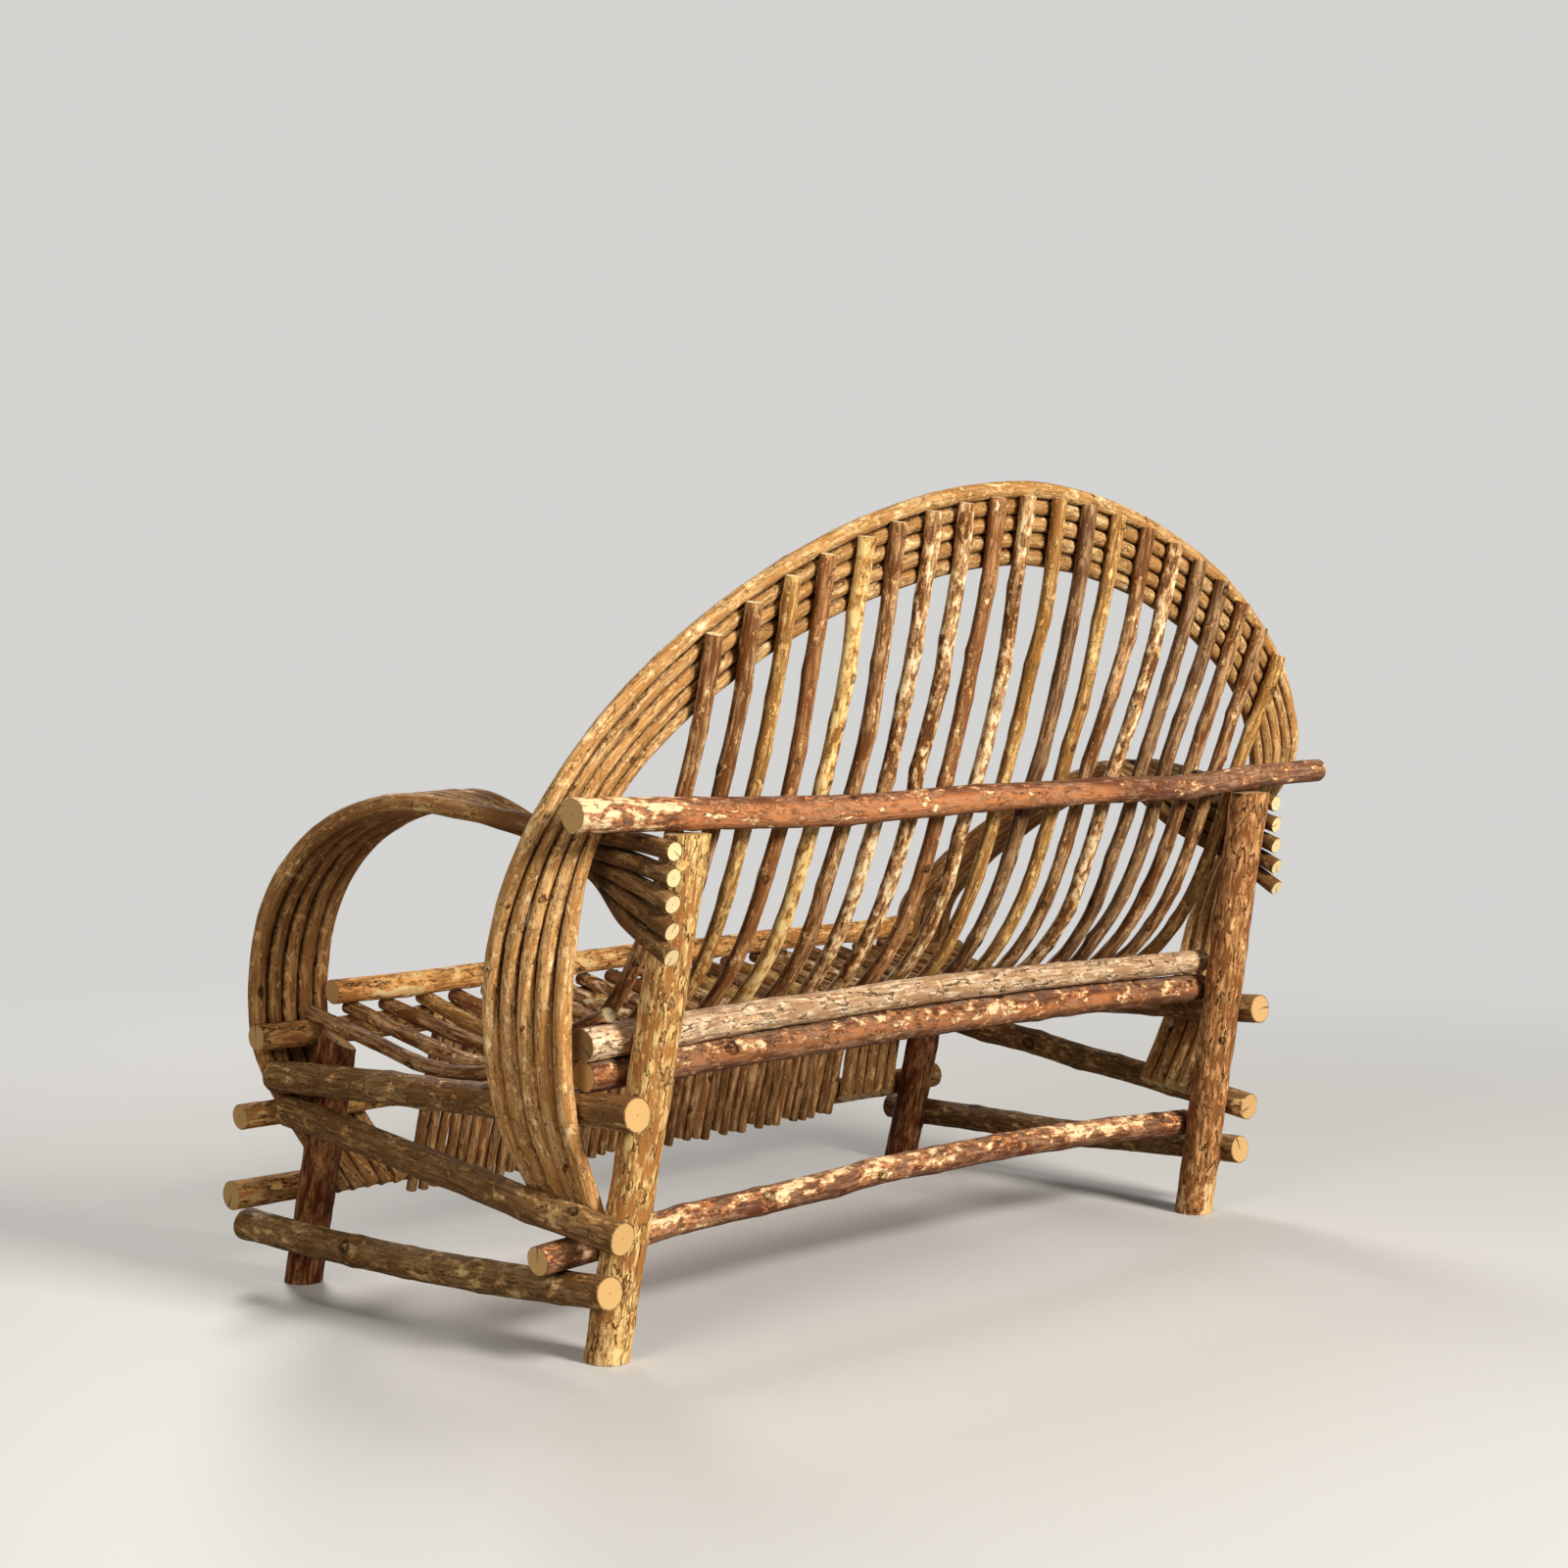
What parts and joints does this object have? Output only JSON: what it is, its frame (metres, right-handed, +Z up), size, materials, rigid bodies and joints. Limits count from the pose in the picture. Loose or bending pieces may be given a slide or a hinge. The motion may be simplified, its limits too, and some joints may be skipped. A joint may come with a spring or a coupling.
{
  "type": "bent branch sofa",
  "caption": "Rustic loveseat of nailed bark-covered poles, with bent rods forming the slung seat, fanned back, looped arms and arched back hoops.",
  "frame": {"origin": "on the floor, under the centre of the bounding box", "axes": "+Z up, the sofa faces -Y, +X is the sitter's left"},
  "size_m": [1.4834, 0.8246, 1.0456],
  "materials": {
    "leg_bark": "natural bark, unvarnished",
    "side_pole_bark": "natural bark, unvarnished",
    "peeled_red_bark": "natural bark, unvarnished",
    "front_pole_bark": "natural bark, unvarnished",
    "seat_rod_bark": "natural bark, unvarnished",
    "hoop_bark": "natural bark, unvarnished",
    "arm_rod_bark": "natural bark, unvarnished"
  },
  "bodies": {
    "root": {"rear_post_left": "leg_bark", "rear_post_right": "leg_bark", "front_leg_left": "leg_bark", "front_leg_right": "leg_bark", "side_rail_left": "side_pole_bark", "side_rail_right": "side_pole_bark", "side_brace_left": "side_pole_bark", "side_brace_right": "side_pole_bark", "side_stretcher_left": "side_pole_bark", "side_stretcher_right": "side_pole_bark", "rear_stretcher": "peeled_red_bark", "rear_seat_rail_lower": "peeled_red_bark", "rear_seat_rail_upper": "peeled_red_bark", "back_rail": "peeled_red_bark", "front_seat_rail": "front_pole_bark", "front_middle_rail": "front_pole_bark", "front_cap_pole": "front_pole_bark", "front_lower_rail": "front_pole_bark", "seat_back_rod_01": "seat_rod_bark", "seat_back_rod_02": "seat_rod_bark", "seat_back_rod_03": "seat_rod_bark", "seat_back_rod_04": "seat_rod_bark", "seat_back_rod_05": "seat_rod_bark", "seat_back_rod_06": "seat_rod_bark", "seat_back_rod_07": "seat_rod_bark", "seat_back_rod_08": "seat_rod_bark", "seat_back_rod_09": "seat_rod_bark", "seat_back_rod_10": "seat_rod_bark", "seat_back_rod_11": "seat_rod_bark", "seat_back_rod_12": "seat_rod_bark", "seat_back_rod_13": "seat_rod_bark", "seat_back_rod_14": "seat_rod_bark", "seat_back_rod_15": "seat_rod_bark", "seat_back_rod_16": "seat_rod_bark", "seat_back_rod_17": "seat_rod_bark", "seat_back_rod_18": "seat_rod_bark", "seat_back_rod_19": "seat_rod_bark", "seat_back_rod_20": "seat_rod_bark", "seat_edge_rod": "seat_rod_bark", "back_hoop_1": "hoop_bark", "back_hoop_2": "hoop_bark", "back_hoop_3": "hoop_bark", "back_hoop_4": "hoop_bark", "back_hoop_5": "hoop_bark", "arm_rod_left_1": "arm_rod_bark", "arm_rod_left_2": "arm_rod_bark", "arm_rod_left_3": "arm_rod_bark", "arm_rod_left_4": "arm_rod_bark", "arm_rod_left_5": "arm_rod_bark", "arm_rod_right_1": "arm_rod_bark", "arm_rod_right_2": "arm_rod_bark", "arm_rod_right_3": "arm_rod_bark", "arm_rod_right_4": "arm_rod_bark", "arm_rod_right_5": "arm_rod_bark"}
  },
  "joints": []
}
